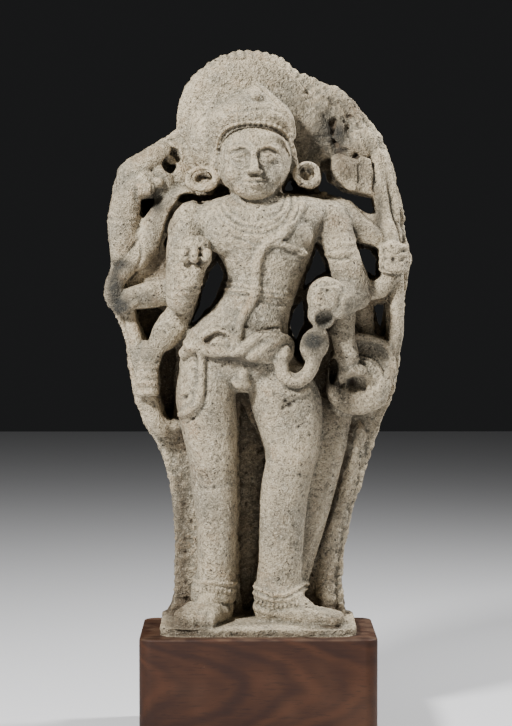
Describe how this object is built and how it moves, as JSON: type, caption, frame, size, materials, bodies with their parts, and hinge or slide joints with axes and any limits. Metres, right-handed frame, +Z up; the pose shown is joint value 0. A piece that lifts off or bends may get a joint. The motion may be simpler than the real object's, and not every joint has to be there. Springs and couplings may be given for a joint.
{
  "type": "bhairava stele with plinth",
  "caption": "Standing many-armed guardian figure in high relief on a pierced stone slab with a round halo, let into a plain rounded wooden plinth.",
  "frame": {"origin": "middle of the plinth's underside", "axes": "+Z up, the figure faces -Y, +X to the viewer's right"},
  "size_m": [0.454, 0.216, 1.005],
  "materials": {
    "stone": "weathered grey granite with a cream crust, brown stain in the hollows and small dark pits",
    "plinth_wood": "dark reddish brown hardwood, satin, with faint grain and a few scuffs"
  },
  "bodies": {
    "root": {"plinth": "plinth_wood", "stele": "stone"}
  },
  "joints": []
}
